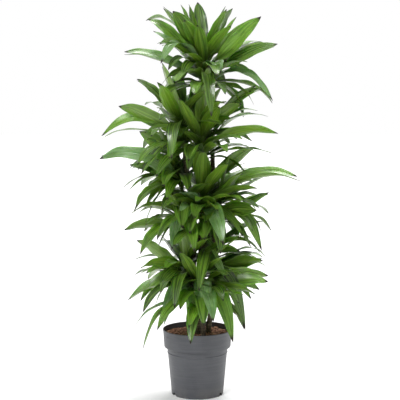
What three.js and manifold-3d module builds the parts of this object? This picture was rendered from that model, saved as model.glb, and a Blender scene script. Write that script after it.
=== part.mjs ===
// A branched dracaena in its nursery pot. Millimetres, +Z up, pot axis on Z, front facing -Y.
import * as THREE from "three";
import { mergeVertices } from "three/addons/utils/BufferGeometryUtils.js";
import Module from "manifold-3d";

const wasm = await Module();
wasm.setup();

// ---- driving dimensions ----
const CM = 10;
const GAP = 0.3; // clearance between pieces that touch
const POT_HEIGHT = 228;
const RIM_RADIUS = 120; // rim band, outside, at its top
const BAND_RADIUS = 115.5; // rim band, outside, at its lower edge
const BAND_BOTTOM = 166;
const NECK_RADIUS = 106;
const BEAD_RADIUS = 104.8;
const BEAD_Z = 148;
const BODY_RADIUS = 103; // tapered wall just under the bead
const FOOT_RADIUS = 90;
const FOOT_HEIGHT = 8;
const WALL = 2;
const FLOOR = 2.2;
const POT_SEGMENTS = 36;
const NOTCH_TURNS = [28, 152, 208, 332]; // places of the drain notches around the pot, in degrees
const NOTCH_RADIUS = 11;
const NOTCH_REACH = 14; // how far the drain notches run in under the floor
const NOTCH_SIDES = 12;
const SOIL_TOP = 210;
const SOIL_CROWN = 5; // how far the mix is heaped up around the canes
const CANE_RADIUS = 9.5;
const SHOOT_RADIUS = 5.5; // green shoot inside the leaf sheaths
const SHOOT_SETBACK = 3; // from the end of the bare stem to the first leaf sheath
const SHEATH_WALL = 2.4;
const SHEATH_SIDES = 8;
const RING_GAP = 0.5; // between one sheath and the next
const SHEATH_CUT = 60; // length kept clear of leaf roots below and above a sheath
const FLATNESS = 0.003; // a corner nearer than this to a flat face or straight edge is left out
const LEAF_CHORD = 265; // straight distance from sheath to tip of a full-grown leaf
const LEAF_THICKNESS = 1.5; // at the midrib; the margins are sharp
const CHANNEL = 0.28; // rise of the margins over the midrib, as a share of the half width
const BASE_CHANNEL = 0.4;
const LEAF_CLEARANCE = 0.4; // kept between any two leaves
const ROOT_HEIGHT = 0.62; // where a leaf leaves its sheath, as a share of the sheath's height
const FILL_COUNT = 13; // places tried for further leaves in each head
const BACK_SPREAD = 1.15; // half the angle they spread over at the back, in radians
const FRONT_SPREAD = 0.8;
const FRONT_REACH = 0.85; // share of a full leaf's length for those at the front
const LOWEST_CLIMB = -0.5; // slope of the oldest leaf in a head, in radians
const HIGHEST_CLIMB = 1;

// Cross-sections of a leaf from sheath to tip: place along the midrib, and share of the full width.
const STATIONS = [
  { at: 0.0, span: 0.15 },
  { at: 0.12, span: 0.45 },
  { at: 0.42, span: 1.0 },
  { at: 0.77, span: 0.74 },
];

// Leaf tips are stated as they line up with the plane through the pot's axis, seen from EYE.
const EYE = new THREE.Vector3(0.9 * CM, -350 * CM, 100 * CM);
const UP = new THREE.Vector3(0, 0, 1);

// ---- materials ----
const plastic = () => new THREE.MeshStandardMaterial({ color: 0x5c5e61, roughness: 0.5, metalness: 0 });
const bark = () => new THREE.MeshStandardMaterial({ color: 0x6e4433, roughness: 0.95, metalness: 0 });
const wood = () => new THREE.MeshStandardMaterial({ color: 0x6f6450, roughness: 0.85, metalness: 0 });
const foliage = () => new THREE.MeshStandardMaterial({ color: 0x3f7d22, roughness: 0.4, metalness: 0 });

// ---- canes: each rooted stem with its branches; points in cm, and each run's radius in mm ----
// A run that carries a head goes on to the foot of that head, where its leafy shoot begins.
const CANES = {
  cane_tall: [
    {
      radius: CANE_RADIUS,
      path: [[0.8, 2.5, 9], [1, 2.6, 24], [2, 2.4, 45], [4.6, 3, 66], [5.4, 2.4, 78]],
    },
    { radius: 7.5, path: [[5.4, 2.45, 77], [5, 2, 86], [3.9, 1.4, 95]], head: "top" },
    { radius: 7, path: [[5, 2.8, 68], [4.2, 0.4, 73], [2.6, -1.6, 77]], head: "upper_right" },
  ],
  cane_left: [
    {
      radius: CANE_RADIUS,
      path: [[-2.2, 1.4, 9], [-1.6, 1, 24], [-1.4, 0.9, 44], [-1.2, 1, 58], [-2, 0.6, 70]],
    },
    { radius: 7.5, path: [[-2, 0.6, 69], [-3.6, -0.4, 77]], head: "upper_left" },
    { radius: 6.5, path: [[-1.4, 0.9, 46], [-2.8, 0, 50]], head: "left" },
    { radius: 6.5, path: [[-1.3, 1, 60], [-3.4, 2, 64.5]], head: "middle_left" },
  ],
  cane_right: [
    {
      radius: CANE_RADIUS,
      path: [[3.2, -0.2, 9], [4, 0, 24], [5.8, 0, 33], [5.4, 0.4, 46]],
      head: "middle_right",
    },
    { radius: 6.5, path: [[4.9, 0, 28], [5.2, 2.2, 34]], head: "lower_right" },
  ],
  cane_front: [
    {
      radius: CANE_RADIUS,
      path: [[0, -1.4, 9], [0.2, -1.6, 24], [0.8, -1.2, 40], [1.3, -1.6, 52]],
      head: "middle",
    },
    { radius: 6.5, path: [[0.2, -1.6, 26], [-1.8, -2.4, 31]], head: "lower_left" },
  ],
  cane_low: [
    { radius: 8.5, path: [[2.4, -4.6, 9], [2, -5, 22]], head: "low" },
  ],
};

// ---- heads of leaves: the leafy stretch of each shoot in cm, its rings, and its leaves ----
// A leaf is [tip x, tip z, way, width, roll, lift, bend]. x and z are in cm on the axis plane. way is
// the share of the length left over that runs back (+) or to the front (-). roll turns the upper face
// to the front, in degrees. lift is how far the midrib arches up, in cm, and bend where it does.
const HEADS = {
  top: {
    foot: [3.3, 1, 104], crown: [2, 0.5, 118], rings: 6,
    leaves: [
      [0.1, 135, 0.6, 4.6, 0], [-2.7, 133.5, 0.3, 4, 0], [-6, 134, 0.5, 3.6, -20],
      [-11.6, 133, 0.2, 4.6, 35], [-8.3, 132, -0.3, 5.5, 50], [0, 127.5, -0.7, 4.2, 0],
      [-17.5, 129.4, 0.1, 4.4, 15, 5], [-13.8, 121, -0.6, 4.6, 10, 6, 0.6],
      [-11.5, 121, -0.8, 4.4, 40, 3], [-12.1, 120, 0.8, 4, 0, 6], [-25, 118.3, 0.2, 4, 10, 3],
      [-7.5, 108.5, -0.95, 5.6, 15, 7, 0.55], [5.5, 130, -0.3, 4, 20], [9.9, 132.4, -0.4, 4, 10],
      [12, 133.3, 0.3, 5, 55], [13.3, 129.9, 0.6, 4, 0], [21.1, 129.9, 0, 5.2, 65, 0],
      [26.9, 121.1, -0.3, 5.6, 55, 2], [26, 120.3, 0.4, 4.6, 10, 6], [6.8, 110.6, -1, 5.2, 10, 6],
      [25.6, 100.9, 0.1, 4.6, 15, 7, 0.75], [19.3, 100.6, -0.4, 4.4, 20, 7, 0.7],
      [15.7, 96.4, 0.3, 4.4, 20, 9, 0.75], [4.8, 97, -0.7, 4.8, 20, 7, 0.6],
      [-1, 104, -0.9, 5, 0, 6, 0.6], [9.5, 104, -0.8, 4.8, 20, 6, 0.6],
      [-12, 108, -0.6, 4.8, 30, 5, 0.6], [0, 99, 0.7, 4.8, 0, 7, 0.6],
    ],
  },
  upper_left: {
    foot: [-4.5, -1, 85], crown: [-5.5, -1, 96], rings: 4,
    leaves: [
      [-20.7, 108.6, 0.3, 4.4, 0, 3], [-15.5, 103, -0.6, 5, 30, 6, 0.6],
      [-16, 104, 0.6, 4.8, 20, 7, 0.6], [-12, 114, 0.2, 5, 45, 0], [-26.9, 100.6, -0.2, 5.6, 65, 2],
      [-33.5, 89.3, 0, 4, 10, 7], [-15.9, 90.2, -0.9, 4.6, 10, 6, 0.6], [-6.1, 89, -0.9, 4.8, 0, 8],
      [-8.8, 82, -0.8, 4.6, 20, 7, 0.6], [-18, 100.7, 0.8, 4.4, 0, 6],
    ],
  },
  upper_right: {
    foot: [2, -2, 80.5], crown: [0.2, -2.6, 92], rings: 4,
    leaves: [
      [5, 111, -0.3, 4.8, 65, 0], [19.9, 106.8, 0.1, 4.8, 40, 3], [11, 102.5, 0.6, 4.4, 20, 3],
      [18.2, 98, 0.4, 4.4, 25, 3], [24.2, 96.3, 0.1, 4.2, 5, 5], [27.7, 90.6, 0, 4.8, 40, 4],
      [10.2, 84, -0.9, 5, 10, 6, 0.6], [25.9, 83.9, -0.3, 4.6, 15, 4], [12.5, 93.7, 0.8, 4, 0, 4],
      [11.5, 78, 0.3, 4.6, 20, 7, 0.75], [7.5, 100, -0.6, 4.8, 30, 2],
      [-3, 81, -0.95, 5, 0, 6, 0.6], [15, 101, -0.3, 4.6, 45, 3], [8, 107, 0.3, 4.6, 30, 1],
    ],
  },
  middle_left: {
    foot: [-5.3, 2.4, 71], crown: [-6.5, 2, 82], rings: 4,
    leaves: [
      [-19.8, 91.1, -0.1, 5.4, 60, 1], [-33.5, 83, 0, 4.2, 30, 3], [-20, 82.5, -0.6, 5.2, 45, 3],
      [-19, 83, 0.6, 4.6, 0, 7], [-23.4, 79, 0.5, 4.4, 5, 4], [-23, 78.4, -0.4, 4.4, 25, 3],
      [-26, 72, 0.2, 4, 5, 5], [-17, 73.5, -0.8, 5.4, 30, 4], [-11.6, 72.2, -0.9, 5, 10, 7, 0.6],
      [-3.3, 71.2, -0.9, 4, 0, 5], [-17.9, 64.7, 0, 4.2, 25, 6, 0.7],
    ],
  },
  middle: {
    foot: [1.2, -2.8, 61], crown: [2, -3, 72], rings: 4,
    leaves: [
      [2, 84.8, -0.7, 4.8, 0, 2], [0.2, 85.5, -0.5, 4.4, 20, 2], [8.5, 78.8, -0.7, 5.2, 30, 2],
      [19.5, 86, 0, 4.8, 60, 1], [16.5, 81, 0.5, 4.4, 0, 6], [17.7, 75.7, 0.6, 4.4, -10, 5],
      [23.9, 79.2, 0.3, 4.4, 10, 4], [35.8, 75.2, 0, 4.4, 20, 5], [20.7, 71.6, -0.5, 5, 35, 4],
      [21, 74.8, 0.3, 4.6, 10, 4], [-11, 66, -0.8, 5, 20, 6], [-1, 62, -1, 5.2, 0, 7],
      [7, 64, -0.9, 5.2, 20, 6],
    ],
  },
  middle_right: {
    foot: [6.3, 0.8, 58], crown: [7, 1, 70], rings: 4,
    leaves: [
      [20.5, 64, -0.4, 4.8, 20, 6, 0.6], [25.2, 70.1, 0.2, 4.4, 15, -1],
      [25.5, 57.2, 0.4, 4.2, 10, 8, 0.7], [22, 56.4, 0, 4.2, 10, 8, 0.75],
      [19, 57, -0.4, 4.2, 10, 8, 0.75], [20.3, 64.2, -0.7, 5.8, 50, 2],
      [8, 49, -0.7, 5.2, 20, 8, 0.6], [16, 72, 0.5, 4.6, 10, 3], [14, 54, 0.5, 4.4, 10, 8, 0.7],
      [14, 79, -0.3, 4.8, 45, 1], [3, 60, -0.8, 5, 10, 6, 0.6],
    ],
  },
  left: {
    foot: [-4, -0.8, 55], crown: [-4.5, -1.2, 66], rings: 4,
    leaves: [
      [-5.2, 58, -0.95, 5.8, 0, 9], [-25.4, 57.4, -0.1, 5, 50, 4],
      [-14, 53.5, -0.5, 4.6, 25, 7, 0.6], [2.5, 54, -0.8, 4.8, 0, 7, 0.6],
      [-14.8, 66, 0.8, 4.4, 0, 4], [-12, 66.5, 0.9, 4.4, 0, 4], [-20, 64, 0.3, 4.6, 10, 5],
      [-9, 70, -0.8, 4.8, 20, 3], [-18, 52, 0.4, 4.4, 15, 8, 0.7], [-1, 50, -0.9, 4.8, 0, 7, 0.6],
    ],
  },
  lower_left: {
    foot: [-3, -2.8, 37], crown: [-3.7, -3, 48], rings: 4,
    leaves: [
      [-5.8, 61, -0.3, 4.4, 70, 0], [-8, 63.5, 0.3, 4.4, 35, 1], [-2, 58, 0.5, 4.2, 0, 2],
      [-18, 55.6, 0.3, 4.2, 10, 1], [-21, 54.6, -0.1, 5.4, 60, 2], [-21.7, 46.9, 0.3, 4.4, 10, 5],
      [-20, 44.5, -0.3, 5.2, 45, 1], [-22, 42.3, 0.5, 4.4, 10, 5], [-20.2, 42.3, 0.2, 4.2, 10, 4],
      [-12.8, 36, -0.8, 5.2, 20, 6, 0.6], [-16, 60, 0.5, 4.4, 20, 2],
    ],
  },
  lower_right: {
    foot: [4.8, 3.6, 41], crown: [4.4, 4.1, 53], rings: 4,
    leaves: [
      [15.3, 54.3, -0.4, 4.6, 35, 2], [9.7, 39.9, -0.9, 4.8, 10, 6, 0.6],
      [14.3, 46.5, 0.1, 4.4, 20, 8, 0.7], [23.8, 48.3, 0.3, 4.2, 10, 9, 0.6],
      [21.8, 49.2, -0.2, 4.8, 20, 9, 0.6], [22.7, 47, -0.4, 5, 50, 1], [24.2, 44.5, 0.4, 4.4, 5, 5.6],
      [16, 43, -0.7, 4.8, 22, 5], [10, 62, -0.3, 4.8, 50, 1], [3.5, 64, -0.5, 4.8, 30, 1],
      [0, 61, -0.4, 4.6, 30, 1], [7, 63, 0.5, 4.8, 0, 1],
    ],
  },
  low: {
    foot: [1.6, -5, 31], crown: [1.2, -5, 42], rings: 5,
    leaves: [
      [24.7, 41.2, -0.1, 5.4, 60, 2], [20.2, 35.5, -0.5, 5, 45, 3], [-23.6, 33.5, 0.2, 4.2, 10, 6],
      [-25.3, 32.4, -0.1, 4.2, 10, 5], [-19, 34, 0.6, 4.6, 10, 5],
      [-21.6, 24.6, -0.3, 4.4, 20, 7, 0.65], [-19, 15.5, 0.1, 4.2, 15, 9, 0.75],
      [-11.8, 24, -0.5, 4.6, 20, 8, 0.65], [-8.7, 28, 0.8, 4.2, 0, 6],
      [-2.4, 18, -0.85, 5.2, 10, 9, 0.65], [2.2, 23.5, -0.8, 5.2, 0, 9, 0.6],
      [11.9, 20.3, -0.2, 4.8, 25, 9, 0.75], [7.8, 27.6, 0.5, 4.4, 0, 6],
      [16.2, 22.7, 0.2, 4.4, 20, 8, 0.75], [9, 33, -0.8, 5, 20, 6, 0.6], [14.5, 32, -0.7, 5, 35, 5],
      [5.5, 25.5, -0.7, 4.8, 10, 8, 0.6], [-6, 30, -0.8, 4.8, 10, 7.6, 0.6],
    ],
  },
};

// Turns a closed three.js geometry into a solid that can be joined and cut.
function toSolid(geometry) {
  const bare = new THREE.BufferGeometry();
  bare.setAttribute("position", geometry.getAttribute("position"));
  bare.setIndex(geometry.index);
  const merged = mergeVertices(bare, 1e-3);
  return new wasm.Manifold(new wasm.Mesh({
    numProp: 3,
    vertProperties: new Float32Array(merged.attributes.position.array),
    triVerts: new Uint32Array(merged.index.array),
  }));
}

// Turns a solid back into a named mesh.
function toMesh(solid, name, material) {
  const data = solid.getMesh();
  const geometry = new THREE.BufferGeometry();
  geometry.setAttribute("position", new THREE.BufferAttribute(data.vertProperties, 3));
  geometry.setIndex(new THREE.BufferAttribute(data.triVerts, 1));
  geometry.computeVertexNormals();
  const mesh = new THREE.Mesh(geometry, material);
  mesh.name = name;
  return mesh;
}

const vector = ([x, y, z]) => new THREE.Vector3(x * CM, y * CM, z * CM);

// A round bar from one point to another.
function bar(from, to, radius, sides) {
  const length = from.distanceTo(to);
  const geometry = new THREE.CylinderGeometry(radius, radius, length, sides);
  const along = to.clone().sub(from).normalize();
  geometry.applyQuaternion(new THREE.Quaternion().setFromUnitVectors(new THREE.Vector3(0, 1, 0), along));
  const middle = from.clone().add(to).multiplyScalar(0.5);
  geometry.translate(middle.x, middle.y, middle.z);
  return toSolid(geometry);
}

// A round stem along a smooth line through its points.
function stem(points, radius) {
  const line = new THREE.CatmullRomCurve3(points);
  const section = new THREE.Shape().absarc(0, 0, radius, 0, 2 * Math.PI);
  const steps = 2 * (points.length - 1);
  const curveSegments = SHEATH_SIDES / 2;
  return toSolid(new THREE.ExtrudeGeometry(section, { extrudePath: line, steps, curveSegments }));
}

// ---- pot ----
// The inside of the pot from the middle of its floor to the rim, as radius and height.
const POT_INSIDE = [
  [FOOT_RADIUS - 2 * WALL, FLOOR],
  [FOOT_RADIUS - WALL, FOOT_HEIGHT + WALL],
  [BODY_RADIUS - WALL, BEAD_Z - 4],
  [NECK_RADIUS - WALL, BAND_BOTTOM + WALL],
  [BAND_RADIUS - WALL, BAND_BOTTOM + WALL],
];

function pot() {
  const outside = [
    [0, 0],
    [FOOT_RADIUS - 1, 0],
    [FOOT_RADIUS, FOOT_HEIGHT],
    [BODY_RADIUS, BEAD_Z - 4],
    [BEAD_RADIUS, BEAD_Z - 3.5],
    [BEAD_RADIUS, BEAD_Z - 0.5],
    [BODY_RADIUS + 0.6, BEAD_Z],
    [NECK_RADIUS, BAND_BOTTOM - 1],
    [BAND_RADIUS, BAND_BOTTOM],
    [RIM_RADIUS, POT_HEIGHT - WALL],
    [RIM_RADIUS - 0.6, POT_HEIGHT],
    [RIM_RADIUS - WALL, POT_HEIGHT],
  ];
  const profile = [...outside, ...POT_INSIDE.toReversed(), [0, FLOOR]];
  const points = profile.map(([r, z]) => new THREE.Vector2(r, z));
  let shell = toSolid(new THREE.LatheGeometry(points, POT_SEGMENTS).rotateX(Math.PI / 2));
  for (const turn of NOTCH_TURNS.map(THREE.MathUtils.degToRad)) {
    const out = new THREE.Vector3(Math.cos(turn), Math.sin(turn), 0);
    const from = out.clone().multiplyScalar(FOOT_RADIUS - NOTCH_REACH);
    const to = out.clone().multiplyScalar(FOOT_RADIUS + NOTCH_REACH);
    shell = shell.subtract(bar(from, to, NOTCH_RADIUS, NOTCH_SIDES));
  }
  return shell;
}

// ---- potting mix ----
// It fills the pot to just under the rim and is heaped a little around the canes rooted in it.
function soil(canes) {
  const wall = POT_INSIDE.map(([r, z]) => new THREE.Vector2(r - GAP, z + GAP));
  const share = (SOIL_TOP - BAND_BOTTOM - WALL) / (POT_HEIGHT - BAND_BOTTOM - WALL);
  const edge = THREE.MathUtils.lerp(BAND_RADIUS, RIM_RADIUS, share) - WALL - GAP;
  const surface = [[1, 0], [0.8, 0.35], [0.5, 0.8], [0, 1]]
    .map(([out, heap]) => new THREE.Vector2(out * edge, SOIL_TOP + heap * SOIL_CROWN));
  const profile = [new THREE.Vector2(0, wall[0].y), ...wall, ...surface];
  let mix = toSolid(new THREE.LatheGeometry(profile, POT_SEGMENTS).rotateX(Math.PI / 2));
  for (const [{ radius, path, head }] of Object.values(canes)) {
    const points = path.map(vector);
    if (head) {
      points.push(vector(HEADS[head].foot));
    }
    points[0].z -= GAP;
    mix = mix.subtract(stem(points, (radius + GAP) / Math.cos(Math.PI / SHEATH_SIDES)));
  }
  return mix;
}

// ---- canes ----
// The bare stem of one run, up to the foot of its head.
function bareRun({ radius, path, head }) {
  const points = path.map(vector);
  if (head) {
    const { foot, along } = shootAxis(HEADS[head]);
    points.push(foot.addScaledVector(along, -SHOOT_SETBACK));
  }
  return stem(points, radius);
}

// The leafy stretch of a shoot: where it starts and ends, and its direction.
function shootAxis(head) {
  const foot = vector(head.foot);
  const crown = vector(head.crown);
  const along = crown.clone().sub(foot).normalize();
  return { foot, crown, along };
}

// The green shoot that a head's sheaths clasp.
function shoot(head) {
  const { foot, crown, along } = shootAxis(head);
  const from = foot.addScaledVector(along, -2 * SHOOT_SETBACK);
  return bar(from, crown.addScaledVector(along, 2 * SHOOT_SETBACK), SHOOT_RADIUS, SHEATH_SIDES);
}

function cane(runs) {
  const shoots = runs.filter((run) => run.head).map((run) => shoot(HEADS[run.head]));
  return wasm.Manifold.union([...runs.map(bareRun), ...shoots]);
}

// ---- leaves ----
// A point that lines up with (x, z) on the axis plane when seen from EYE, at the given depth.
function sighted(x, z, depth) {
  const scale = (depth - EYE.y) / -EYE.y;
  return new THREE.Vector3(EYE.x + (x - EYE.x) * scale, depth, EYE.z + (z - EYE.z) * scale);
}

// The tip of a leaf: its length over and above what shows in the plane runs back or to the front.
function tipOf(leaf, root, shift) {
  let depth = root.y;
  for (let pass = 0; pass < 4; pass += 1) {
    const seen = sighted(leaf.x, leaf.z, depth);
    const flat = Math.hypot(seen.x - root.x, seen.z - root.z);
    const spare = Math.sqrt(Math.max(0, LEAF_CHORD ** 2 - flat ** 2));
    depth = root.y + leaf.way * spare + shift;
  }
  return sighted(leaf.x, leaf.z, depth);
}

// The midrib, and the direction across the blade at its root.
function midrib(leaf, nudge) {
  const tip = tipOf(leaf, leaf.root, nudge.depth);
  const out = tip.clone().sub(leaf.root).setZ(0).normalize();
  const from = leaf.root.clone().addScaledVector(out, SHOOT_RADIUS + GAP + SHEATH_WALL / 2);
  const knee = from.clone().lerp(tip, leaf.bend).addScaledVector(UP, leaf.lift + nudge.lift);
  const across = new THREE.Vector3().crossVectors(out, UP);
  return { line: new THREE.QuadraticBezierCurve3(from, knee, tip), across };
}

// A closed blade: at each station a flat V of four points (margin, top, margin, keel), then the tip.
function blade(leaf, nudge, { grow = 0, first = 0 } = {}) {
  const { line, across } = midrib(leaf, nudge);
  const sign = across.y > 0 ? 1 : -1;
  const points = [];
  for (const { at, span } of STATIONS) {
    const place = Math.max(at, first);
    const centre = line.getPoint(place);
    const along = line.getTangent(place);
    const side = across.clone().addScaledVector(along, -across.dot(along)).normalize();
    const ease = THREE.MathUtils.smoothstep(place, 0, 0.45);
    side.applyAxisAngle(along, sign * ease * leaf.roll);
    const face = new THREE.Vector3().crossVectors(side, along);
    const half = (span * leaf.width) / 2 + grow;
    const rise = half * THREE.MathUtils.lerp(BASE_CHANNEL, CHANNEL, ease);
    const thick = LEAF_THICKNESS / 2 + grow;
    points.push(centre.clone().addScaledVector(side, half).addScaledVector(face, rise));
    points.push(centre.clone().addScaledVector(face, thick));
    points.push(centre.clone().addScaledVector(side, -half).addScaledVector(face, rise));
    points.push(centre.clone().addScaledVector(face, -thick));
  }
  points.push(line.getPoint(1));
  // Each quad is cut from its margin corner, so the upper and lower skins of a twisted blade stay apart.
  const faces = [0, 1, 2, 0, 2, 3];
  const last = STATIONS.length - 1;
  for (let ring = 0; ring < last; ring += 1) {
    for (let k = 0; k < 4; k += 1) {
      const a = 4 * ring + k;
      const b = 4 * ring + ((k + 1) % 4);
      if (k % 2 === 0) {
        faces.push(a, a + 4, b + 4, a, b + 4, b);
      } else {
        faces.push(a, a + 4, b, a + 4, b + 4, b);
      }
    }
  }
  for (let k = 0; k < 4; k += 1) {
    faces.push(4 * last + k, points.length - 1, 4 * last + ((k + 1) % 4));
  }
  const geometry = new THREE.BufferGeometry().setFromPoints(points);
  geometry.setIndex(faces);
  return toSolid(geometry);
}

// Rising leaves are nearly straight, and level or hanging ones arch more.
function restingLift(tip, root) {
  const climb = Math.atan2(tip.z - root.z, Math.hypot(tip.x - root.x, tip.y - root.y));
  return THREE.MathUtils.mapLinear(climb, -0.6, 1.2, 7 * CM, 0.5 * CM);
}

// Leaves that fill a head at its back and front: turned by the golden angle, old to young.
function fillLeaves(head, middle) {
  const golden = Math.PI * (3 - Math.sqrt(5));
  const leaves = [];
  for (let i = 0; i < FILL_COUNT; i += 1) {
    const swing = ((i * golden) / Math.PI) % 2 - 1; // from -1 to 1, never twice in one place
    const atBack = i % 5 > 1; // three in five
    const turn = atBack ? Math.PI / 2 + BACK_SPREAD * swing : -Math.PI / 2 + FRONT_SPREAD * swing;
    const climb = THREE.MathUtils.lerp(LOWEST_CLIMB, HIGHEST_CLIMB, (i + 0.5) / FILL_COUNT);
    const reach = (atBack ? 1 : FRONT_REACH) * LEAF_CHORD;
    const out = new THREE.Vector3(Math.cos(turn), Math.sin(turn), 0).multiplyScalar(Math.cos(climb));
    const tip = middle.clone().addScaledVector(out, reach).addScaledVector(UP, reach * Math.sin(climb));
    const scale = EYE.y / (EYE.y - tip.y);
    leaves.push({
      x: EYE.x + (tip.x - EYE.x) * scale,
      z: EYE.z + (tip.z - EYE.z) * scale,
      way: Math.sign(tip.y - middle.y) * (atBack ? 1 : 0.8),
      width: (4.9 + 0.5 * Math.sin(5 * i)) * CM,
      roll: 0,
      bend: climb < 0 ? 0.65 : 0.5,
      filler: true,
    });
  }
  return leaves;
}

// Reads a head's leaves, and gives each a ring: low leaves go to low rings, and neighbours in
// direction to different rings where there is a choice.
function readHead(name, head) {
  const foot = vector(head.foot);
  const crown = vector(head.crown);
  const middle = foot.clone().lerp(crown, 0.5);
  const shown = head.leaves.map(([x, z, way, width, roll, lift, bend = 0.5]) => ({
    x: x * CM,
    z: z * CM,
    way,
    width: width * CM,
    roll: THREE.MathUtils.degToRad(roll),
    lift: lift === undefined ? undefined : lift * CM,
    bend,
  }));
  const leaves = [...shown, ...fillLeaves(head, middle)];
  for (const leaf of leaves) {
    leaf.root = middle;
    const tip = tipOf(leaf, middle, 0);
    leaf.climb = Math.atan2(tip.z - middle.z, Math.hypot(tip.x - middle.x, tip.y - middle.y));
    leaf.turn = Math.atan2(tip.y - middle.y, tip.x - middle.x);
    leaf.lift ??= restingLift(tip, middle);
  }
  leaves.sort((a, b) => a.climb - b.climb);
  const room = Math.ceil(leaves.length / head.rings);
  const rings = Array.from({ length: head.rings }, () => []);
  for (const leaf of leaves) {
    const open = rings.filter((ring) => ring.length < room).slice(0, 2);
    const apart = (ring) => Math.min(9, ...ring.map((other) => Math.abs(turnBetween(leaf, other))));
    const chosen = open.reduce((best, ring) => (apart(ring) > apart(best) + 0.3 ? ring : best));
    chosen.push(leaf);
    leaf.head = name;
    moveToRing(leaf, { foot, crown, rings }, rings.indexOf(chosen));
  }
  return { name, foot, crown, rings };
}

// Roots a leaf in the upper part of a ring's sheath.
function moveToRing(leaf, { foot, crown, rings }, ring) {
  leaf.ring = ring;
  leaf.root = foot.clone().lerp(crown, (ring + ROOT_HEIGHT) / rings.length);
}

// The angle between two leaves' directions, from -pi to pi.
function turnBetween(a, b) {
  const turn = a.turn - b.turn;
  return Math.atan2(Math.sin(turn), Math.cos(turn));
}

// Small moves, in cm, that are tried in turn until a leaf lies clear of all the others.
const DEPTH_MOVES = [0, 1, -1, 2, -2, 3, -3, 4.5, -4.5, 6, -6, 8, -8, 10, -10, 13, -13];
const LIFT_MOVES = [0, 1, -1, 2, -2, 3.5, -3.5, 5, -5];
const NUDGES = DEPTH_MOVES
  .flatMap((depth) => LIFT_MOVES.map((lift) => ({ depth: depth * CM, lift: lift * CM })))
  .toSorted((a, b) => Math.hypot(a.depth, 1.5 * a.lift) - Math.hypot(b.depth, 1.5 * b.lift));

const touches = (a, b) => {
  const p = a.box;
  const q = b.box;
  const near = [0, 1, 2].every((k) => p.min[k] < q.max[k] && q.min[k] < p.max[k]);
  return near && !a.solid.intersect(b.solid).isEmpty();
};
const boxed = (solid) => ({ solid, box: solid.boundingBox() });

// Finds each leaf's nudge, so that no two leaves touch and none meets a cane, a sheath, the pot
// or the mix. The root of a leaf may touch its own sheath and the other leaves of its ring.
function settle(heads, stems) {
  const placed = [];
  const leaves = heads.flatMap((head) => head.rings.flat());
  for (const leaf of [...leaves.filter((one) => !one.filler), ...leaves.filter((one) => one.filler)]) {
    const head = heads.find((one) => one.name === leaf.head);
    const { ring } = leaf;
    const clear = (nudge) => {
      const rooted = boxed(blade(leaf, nudge, { grow: LEAF_CLEARANCE }));
      const trial = boxed(blade(leaf, nudge, { grow: LEAF_CLEARANCE, first: 0.08 }));
      const trimmed = boxed(blade(leaf, nudge, { grow: LEAF_CLEARANCE, first: 0.25 }));
      const blocks = (piece) => touches(piece.head === leaf.head ? trial : rooted, piece);
      if (stems.some(blocks)) {
        return false;
      }
      return placed.every((other) => {
        const mates = other.leaf.head === leaf.head && other.leaf.ring === leaf.ring;
        return mates ? !touches(trimmed, other.trimmed) : !touches(rooted, other.whole);
      });
    };
    for (const step of [0, 1, -1, 2, -2]) {
      if (!leaf.nudge && head.rings[ring + step]) {
        moveToRing(leaf, head, ring + step);
        leaf.nudge = NUDGES.find(clear);
      }
    }
    if (leaf.nudge) {
      placed.push({
        leaf,
        whole: boxed(blade(leaf, leaf.nudge)),
        trimmed: boxed(blade(leaf, leaf.nudge, { first: 0.25 })),
      });
    }
  }
}

// A sheath's inside and outside radius, measured to its corners.
const INNER_RADIUS = (SHOOT_RADIUS + GAP) / Math.cos(Math.PI / SHEATH_SIDES);
const OUTER_RADIUS = INNER_RADIUS + SHEATH_WALL;

// One ring: its sheath around the shoot, and its leaves, joined into one solid. The way of the shoot
// and the neighbouring sheaths' places are cut clear.
function ringSolid({ foot, crown, rings }, index) {
  const lowEnd = foot.clone().lerp(crown, index / rings.length);
  const highEnd = foot.clone().lerp(crown, (index + 1) / rings.length).addScaledVector(UP, -RING_GAP);
  const past = crown.clone().sub(foot).normalize().multiplyScalar(SHEATH_CUT);
  const under = lowEnd.clone().sub(past);
  const over = crown.clone().add(past);
  const blades = rings.flat()
    .filter((leaf) => leaf.nudge && leaf.ring === index)
    .map((leaf) => blade(leaf, leaf.nudge));
  const sheath = bar(lowEnd, highEnd, OUTER_RADIUS, SHEATH_SIDES);
  const joined = wasm.Manifold.union([sheath, ...blades])
    .subtract(bar(under, over, INNER_RADIUS, SHEATH_SIDES))
    .subtract(bar(highEnd, over, OUTER_RADIUS + GAP, SHEATH_SIDES))
    .subtract(bar(under, lowEnd, OUTER_RADIUS + GAP, SHEATH_SIDES));
  const whole = joined.decompose().reduce((best, part) => (part.volume() > best.volume() ? part : best));
  return whole.simplify(FLATNESS);
}

// ---- the whole plant ----
const plant = new THREE.Group();
const potSolid = pot();
const soilSolid = soil(CANES);
const caneSolids = Object.fromEntries(Object.entries(CANES).map(([name, runs]) => [name, cane(runs)]));
const heads = Object.entries(HEADS).map(([name, head]) => readHead(name, head));
const bareStems = Object.values(CANES).flat().map(bareRun);
const stems = [potSolid, soilSolid, ...bareStems].map(boxed);
for (const { name, foot, crown } of heads) {
  stems.push({ head: name, ...boxed(bar(foot, crown, OUTER_RADIUS + GAP, SHEATH_SIDES)) });
}
settle(heads, stems);

plant.add(toMesh(potSolid, "nursery_pot", plastic()));
plant.add(toMesh(soilSolid, "potting_soil", bark()));
for (const [name, solid] of Object.entries(caneSolids)) {
  plant.add(toMesh(solid, name, wood()));
}
for (const head of heads) {
  head.rings.forEach((ring, index) => {
    plant.add(toMesh(ringSolid(head, index), `leaves_${head.name}_${index + 1}`, foliage()));
  });
}

export default plant;
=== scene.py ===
# A branched dracaena rooted in a grey nursery pot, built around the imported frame. Metres, +Z up.
import math

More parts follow.
